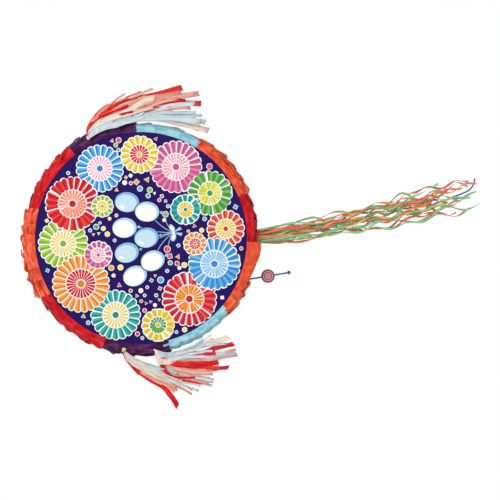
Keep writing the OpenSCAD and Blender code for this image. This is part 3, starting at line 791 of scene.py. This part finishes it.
def poly_ribbon(name, deep, plain, pale):
    """curling ribbon: glossy stretched film, with fine ribs along it and paler stretched bends"""
    material, shader = new_finish(name, {"Roughness": 0.34, "Specular IOR Level": 0.5})
    film = add(material, "UVMap", {}, uv_map="paper").outputs["UV"]
    # ribs 0.6 mm apart across the width, and bends about 30 mm apart along it
    ribs = add(material, "TexWave",
        {"Vector": film, "Scale": wave_gap / 0.0006}, bands_direction="X").outputs["Fac"]
    along = add(material, "Mapping", {"Vector": film, "Scale": (90, 34, 1)}).outputs[0]
    shade = add(material, "Attribute", {}, attribute_name="shade").outputs["Fac"]
    tone = maths(material, "ADD", noisy(material, along, 1.0, 2.0), shade)
    colours = ramp(material, tone, [(0.25, deep), (0.5, plain), (0.75, pale)])
    feed(material, shader, colours.outputs["Color"], ribs, 0.3, 0.2)
    return material


def smooth_line(points, steps):
    """points along a smooth line through the given ones"""
    points = [Vector(p) for p in points]
    last = len(points) - 1
    slopes = [(points[min(i + 1, last)] - points[max(i - 1, 0)]) / 6 for i in range(last + 1)]
    line = [points[0]]
    for i in range(last):
        start, end = points[i], points[i + 1]
        line += geometry.interpolate_bezier(start, start + slopes[i], end - slopes[i + 1], end,
            steps + 1)[1:]
    return line


def length_of(line):
    """length of a line of points"""
    return sum((b - a).length for a, b in zip(line, line[1:]))


films = [(colour, poly_ribbon("poly_ribbon_" + colour, *inks)) for colour, *inks in (
    ("green", "#6CB878", "#92D698", "#C4EFC0"), ("orange", "#D85638", "#F4754C", "#FDA67C"),
    ("lime", "#938F40", "#B9AE58", "#D6D68C"))]
for c in range(5):
    for d in range(5):
        colour, film = films[(2 * c + 3 * d) % 5 % 3]
        share = 1 - 0.2 * ((3 * c + 5 * d) % 7) / 6
        line = [ribbon_point(c, d, share * k / ribbon_steps) for k in range(ribbon_steps + 1)]
        tone, pace = -0.12 + 0.08 * ((3 * c + 2 * d) % 4), 4.2 + 0.5 * ((3 * c + d) % 5)
        bm = paper_sheet()
        for vert in grid(bm, 4, ribbon_steps):
            k, s = round((vert.co.y + 0.5) * ribbon_steps), vert.co.x
            u = share * k / ribbon_steps
            ahead = heading(line, k)
            # film that has been pulled over a blade turns more the further it hangs
            turn = 25 * min(1, 4 * u) * sin(828 * u + 90 * c + 40 * d)
            turn += 66 * min(1, 4 * u) * sin(360 * pace * u + 61 * c + 143 * d)
            flat = Vector((cos(turn), 0, sin(turn)))
            flat = (flat - ahead * flat.dot(ahead)).normalized()
            cup = 0.5 * (1 - 4 * s * s) * min(1, 6 * u)
            slant = ahead * (2.5 * s if k == ribbon_steps else 0)
            p = line[k] + flat * 0.9 * ribbon_w * s + ahead.cross(flat) * cup + slant
            vert.co = hung(*p)
            # each ribbon is cut from its own 0.4 m of the film
            mark(bm, vert, tone, s * ribbon_w / 1000, u * ribbon_len / 1000 + 0.4 * (5 * c + d))
        ribbon = thin_piece(bm, f"ribbon_{colour}_{c}{d}", film, 0.16)
        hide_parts("ribbons_" + colour)
        length_of(line) / 1000
# the round cord, through points beside the slot, at heights on the drum, behind the ribbons
streamer_z = -11.4
streamer = smooth_line([(slot_x + dx, y, streamer_z + dz) for dx, y, dz in (
    (-2, start_y(slot_x - 2), 0), (-4, -190, 0), (-8, -225, -2), (-3, -265, -4), (-7, -305, -5),
    (0, -350, -6), (-4, -395, -6), (4, -440, -7), (3, -485, -7), (10, -525, -6), (16, -552, -5),
    (25, -563, -4), (35, -567, -3))], 10)
bm = bmesh.new()
twisted_cord(bm, streamer, 2.8, 6)
tail = finished(bm, "streamer_strands", cord_yarn)
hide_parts("streamer_cord")
hung(*streamer[0])
length_of(streamer) / 1000
[hung(*p) for p in streamer]
# the knot that gathers the ribbons, pleated by the ribbons wound round it, with a flat face
gathered_r = 17.6
bm = paper_sheet()
bmesh.ops.create_uvsphere(bm, u_segments=64, v_segments=20, radius=1)
bmesh.ops.bisect_plane(bm, geom=bm.verts[:] + bm.edges[:] + bm.faces[:], dist=1e-5,
    plane_co=(0, 0, -0.28), plane_no=(0, 0, 1), clear_inner=True)
bmesh.ops.holes_fill(bm, edges=[e for e in bm.edges if e.is_boundary], sides=80)
middle = Vector((*on_rim(slot_angle, seat - 5.2), 0))
for vert in bm.verts:
    x, y, z = vert.co
    pleat = 1 - 0.05 * (1 - abs(z)) * (1 + math.cos(11 * math.atan2(y, x) + 5 * z))
    p = gathered_r * Vector((x * pleat, z, y * pleat))
    vert.co = hung(*(middle + Matrix.Rotation(math.radians(slot_angle), 3, "Z") @ p))
outward(bm)
gathered = finished(bm, "gathered_knot", films[0][1])
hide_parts("ribbon_knot")

# Each tassel is a bunch of tissue strips in four colours, pinched together in a wound band on
# the crepe at the print's edge; the strips fan out, bend over the rim and hang beside the drum.
# each tissue's shaded, own and lit tone; the shaded and lit ones carry the painted shade and light
# of its crumples and crinkles
tissue = [(colour, crepe_paper("tissue_" + colour, *inks)) for colour, *inks in (
    ("red", "#A8141E", "#DC2229", "#F05A52"), ("peach", "#DD8A76", "#F3AD98", "#FACFC0"),
    ("blue", "#A3BBC8", "#CADAE2", "#EDF3F6"), ("cream", "#CFB59E", "#EEDACA", "#F9EEE4"))]
strip_w, pinch_w, strip_n, tassel_len = 8, 2.4, 12, 204
lane_z, lane_pitch = 47.95, 0.9
root = Vector((*on_rim(108.4, drum_r), 0))
# the innermost strip bends close round the rim, and the outermost goes straight out first
inner_out, inner_down = Vector((16, -22, 0)), Vector((27, -79, 0))
outer_out, outer_down = Vector((36, 0, 0)), Vector((52, -40, 0))
# on the left a second bunch, of the strips inside this place, is tucked into the crepe lower down
second_inside, second_start = 7.65, 0.42
second_root, second_way = Vector((184, 9.5, lane_z - 0.6)), Vector((0.64, -0.77, 0.05))


def strip_point(i, u, widest):
    """place at u along strip i of a tassel on the right, 0 being the innermost strip"""
    share = i / (strip_n - 1)
    splay = (widest + 3) * share ** 2 - 3
    reach = tassel_len * (1 - 0.42 * share ** 4)
    v = 1 - u
    p = (3 * u * v * v * inner_out.lerp(outer_out, share)
        + 3 * u * u * v * inner_down.lerp(outer_down, share)
        + u ** 3 * reach * Vector((sin(splay), -cos(splay), 0)))
    back = 30 * share * max(0, (p.length / tassel_len - 0.45) / 0.55) ** 1.5
    lane = lane_z + lane_pitch * (strip_n - 1 - i) - back
    return root + p + Vector((3 * u * sin(540 * u + 47 * i), 0, lane))


def tissue_strip(bm, line, seed, whole, dice):
    """one creased strip along points in millimetres, pinched at its start and torn at its end"""
    n = len(line) - 1
    verts = grid(bm, 6, n)
    fork = dice.uniform(0.62, 0.85) if dice.random() < 0.6 and not whole else 1
    torn = [e for e in edges_of(verts)
        if all(abs(v.co.x) < 1e-4 and v.co.y + 0.5 > fork for v in e.verts)]
    faces = faces_of(verts)
    bmesh.ops.split_edges(bm, edges=torn)
    sides = {v: f.calc_center_median().x for f in faces for v in f.verts if v.co.y + 0.5 > fork}
    wide, roll = strip_w * dice.uniform(0.85, 1.25), dice.uniform(-1, 1)
    slope, bend, tone = dice.uniform(-5, 5), dice.uniform(-1, 1), dice.uniform(-0.16, 0.16)
    for vert in dict.fromkeys(v for f in faces for v in f.verts):
        u, s = vert.co.y + 0.5, vert.co.x
        k = round(u * n)
        ahead = heading(line, k)
        flat = Vector((-ahead.y, ahead.x, 0)).normalized()
        over = ahead.cross(flat)
        # the strip rolls about its own line, and creases along and across it
        turn = 40 * roll * eased((u - 0.15) / 0.5) * sin(250 * u + 71 * seed)
        across = flat * cos(turn) + over * sin(turn)
        crush = noise.noise((u * 10, s * 1.5, seed * 3.7))
        kink = noise.noise((u * 6, 2.0, seed * 1.9))
        full = pinch_w + (wide - pinch_w) * eased(u / 0.2)
        full *= 1 + 0.12 * noise.noise((u * 9, seed * 2.1, 5.0))
        p = line[k] + across * (full * s + 2.5 * kink * eased((u - 0.2) / 0.3))
        p += over * (0.2 + 1.1 * eased((u - 0.15) / 0.4)) * crush
        p += across * 9 * bend * max(0, (u - 0.6) / 0.4) ** 2
        if vert in sides:
            gape = ((u - fork) / (1 - fork)) ** 1.5
            p += across * math.copysign(9, sides[vert]) * gape * (1 - fork)
        p += ahead * (slope * s if k == n else 0)
        vert.co = p
        # painted shade: the tone follows the crumples that bend the strip; tone is a random tone
        # for each strip
        mark(bm, vert, 0.5 + tone + 0.3 * crush, u * 0.2, s * strip_w / 1000 + 0.05 * seed)


def strip_line(i, drift, lane, starts, ends, widest):
    """points along a strip that starts as strip i and drifts across others in its own lane"""
    line = []
    for k in range(41):
        u = starts + (ends - starts) * k / 40
        p = strip_point(min(11.4, max(0.2, i + drift * eased((u - 0.25) / 0.65))), u, widest)
        z = strip_point(i, u, widest).z + lane * eased(u / 0.3)
        line.append(Vector((p.x, p.y, z)))
    return line


# each strip's place in the fan, its drift, how much of its length hangs and its lane forward
fans = {
    "right": {
        "red": [(10.7, 0.2, 0.96, 0.6), (10.2, 0.2, 0.85, 1.5), (9.3, -0.5, 0.72, 2.5),
            (8.6, -1, 0.66, 3), (8.9, 0, 1.02, -0.8), (7, -0.2, 1.01, 1.2),
            (6.4, 0.5, 0.95, 1.8), (5.4, 1, 0.86, 0.5), (4, 0.6, 0.62, 1.4)],
        "peach": [(11, 0, 1, 0.2), (10.5, 0.2, 0.8, 2.2), (8.3, 0.4, 1.08, 1.6),
            (8, 0.1, 0.97, 0.6), (7.4, -0.2, 1, 2), (7, -0.8, 0.95, 0.3),
            (6, 0, 0.9, 0), (5.2, -0.5, 0.85, -0.5), (9.6, -0.4, 0.8, -0.5)],
        "blue": [(9.8, 0.3, 0.97, -0.5), (6, -0.4, 0.96, 0.8), (5.4, -0.9, 0.93, 1.2),
            (4.6, -0.6, 0.97, 1), (4, -0.4, 0.94, 1.6), (3.2, 0, 0.98, 1.2),
            (1.4, 0, 0.95, 2), (0.8, 0.2, 0.66, 2.4), (7.6, 0, 0.93, -1)],
        "cream": [(6, 1.5, 0.82, 2.6), (5.4, 1.4, 0.78, 3), (4.9, 0.8, 0.7, 2),
            (3.6, -2.6, 0.99, -0.5), (3, -2.2, 0.95, -0.2), (4.4, 0, 0.9, 0.6),
            (9, 0.4, 0.9, -0.6), (7.8, 0.2, 0.97, 0), (1.6, 0.3, 0.7, 1.2)]},
    "left": {
        "red": [(11, 0, 1.08, 0.5), (10.7, 0.2, 0.45, 2.4), (10.1, 0.3, 0.6, 0.4),
            (8.9, -0.3, 0.7, -0.5), (7.6, 1.2, 0.9, 3.4), (6.6, 0, 0.95, 2.6),
            (6.2, 0.2, 0.9, 3.2), (4.6, 0, 0.95, 0), (4.2, 0.3, 0.86, -0.4)],
        "peach": [(10.4, 0.1, 0.9, 1.8), (9.9, -0.2, 0.8, 1.4), (9.4, 0.2, 0.92, -0.3),
            (7.7, 0.2, 0.9, -0.5), (5.7, 0, 0.97, 1), (7, 0.4, 0.92, 0.4)],
        "blue": [(9.4, -0.2, 0.88, 2), (8.9, 0, 0.84, 3), (8.2, 0.3, 0.72, 2.6),
            (7.9, 0, 0.92, -0.4), (5.2, 0, 0.96, 1.6), (4.8, -0.3, 0.85, 2.2),
            (2.8, 0, 0.9, 1.5), (2.2, 0.3, 0.8, 2)],
        "cream": [(9.7, -0.4, 0.86, 3), (8.5, 0.3, 0.9, 3.4), (7.9, 0.4, 0.94, -0.6),
            (5.8, 0.1, 0.66, 3.4), (5, -0.2, 0.9, 1), (3.2, -0.4, 0.85, 2.4),
            (2.6, 0.2, 0.92, 1)]}}
for side, flip, widest, chance in (("right", 1, 30, 5), ("left", -1, 53, 139)):
    dice = random.Random(chance)
    for colour, finish in tissue:
        bm = paper_sheet()
        area = 0
        for i, drift, ends, lane in fans[side][colour]:
            if side == "left" and i < second_inside:
                line = []
                for k, p in enumerate(strip_line(i, drift, lane, second_start, ends, widest)):
                    tucked = second_root + 1.6 * k * second_way + Vector((0, 0, 0.35 * lane))
                    line.append(tucked.lerp(p, eased(k / 22)))
            else:
                line = strip_line(i, drift, lane, 0, ends, widest)
            area += length_of(line) * strip_w
            tissue_strip(bm, line, i + 0.5 * flip, ends > 0.98, dice)
        for vert in bm.verts:
            vert.co = hung(flip * vert.co.x, vert.co.y, vert.co.z)
        outward(bm)
        strips = thin_piece(bm, f"strips_{side}_{colour}", finish, 0.2)
        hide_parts(f"tassel_{side}_{colour}")
    # the band: a strip of tissue wound round the pinched ends
    low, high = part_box("wrap_" + side)
    bm = paper_sheet()
    tube(bm, 36, 7, False)
    out = inner_out + outer_out
    middle = root + Vector((0, 0, 500 * (-low.y - high.y))) + out.normalized()
    deep = 500 * (high.y - low.y) - 0.4
    bent = lambda v: math.copysign(abs(v) ** 0.7, v)
    for vert in bm.verts:
        turn, run = math.atan2(vert.co.y, vert.co.x), vert.co.z
        # narrower towards the print, with the edge of the winding standing up a little
        wide = 2.9 + 2.6 * run
        pinch = 1 - 0.05 * cos(360 * run)
        pinch += 0.05 * noise.noise((3 * vert.co.x, 3 * vert.co.y, 4 * run))
        p = Matrix.Rotation(math.atan2(out.y, out.x), 3, "Z") @ Vector((5 * run,
            wide * pinch * bent(math.cos(turn)), deep * pinch * bent(math.sin(turn))))
        p += middle
        vert.co = hung(flip * p.x, p.y, p.z)
        mark(bm, vert, 0.45 + 0.15 * math.sin(9 * run), run * 0.007, turn * 0.006)
    outward(bm)
    band = thin_piece(bm, f"band_{side}", tissue[3][1], 0.4)
    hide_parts("wrap_" + side)

# A plain pale floor far below, and soft studio light: a bright room, one large lamp beside the
# camera and a weaker one behind. Rays from the camera see a white backdrop.
floor_z, floor_r, floor_glow = -3.2, 12, 0.36
bm = bmesh.new()
bmesh.ops.create_circle(bm, cap_ends=True, segments=96, radius=floor_r,
    matrix=Matrix.Translation((0, 0, floor_z)))
mesh = bpy.data.meshes.new("floor")
bm.to_mesh(mesh)
bm.free()
floor = bpy.data.objects.new("floor", mesh)
scene.collection.objects.link(floor)
pale, shader = new_finish("pale_floor", {"Base Color": linear("#EDECE8"), "Roughness": 0.9,
    "Emission Color": (1, 1, 1, 1)})
floor_rays = add(pale, "LightPath", {}).outputs
glow = maths(pale, "MULTIPLY", floor_rays["Is Camera Ray"], floor_glow)
pale.node_tree.links.new(glow, shader.inputs["Emission Strength"])
mesh.materials.append(pale)
world = scene.world or bpy.data.worlds.new("room")
scene.world = world
world.use_nodes = True
world.node_tree.nodes.clear()
rays = add(world, "LightPath", {}).outputs
seen = maths(world, "MAXIMUM", rays["Is Camera Ray"], rays["Is Glossy Ray"])
seen = maths(world, "MAXIMUM", seen, rays["Is Transmission Ray"])
room = add(world, "Background", {"Color": (1, 1, 1, 1), "Strength": 0.62})
backdrop = add(world, "Background", {"Color": (1, 1, 1, 1), "Strength": 1.0})
both = add(world, "MixShader", {0: seen, 1: room.outputs[0], 2: backdrop.outputs[0]})
add(world, "OutputWorld", {"Surface": both.outputs[0]})
lit_place = Vector((0, 0, -0.25))
for name, energy, stand in (("soft_lamp", 34, (0.7, -2.5, 0.4)),
        ("back_lamp", 18, (-0.9, 2.4, 0.7))):
    lamp = bpy.data.objects.new(name, bpy.data.lights.new(name, "AREA"))
    lamp.data.size = 1.6
    lamp.data.energy = energy
    lamp.matrix_world = Matrix.Translation(stand)
    lamp.rotation_mode = "QUATERNION"
    lamp.rotation_quaternion = (lit_place - Vector(stand)).to_track_quat("-Z", "Y")
    scene.collection.objects.link(lamp)
scene.view_settings.view_transform = "Standard"
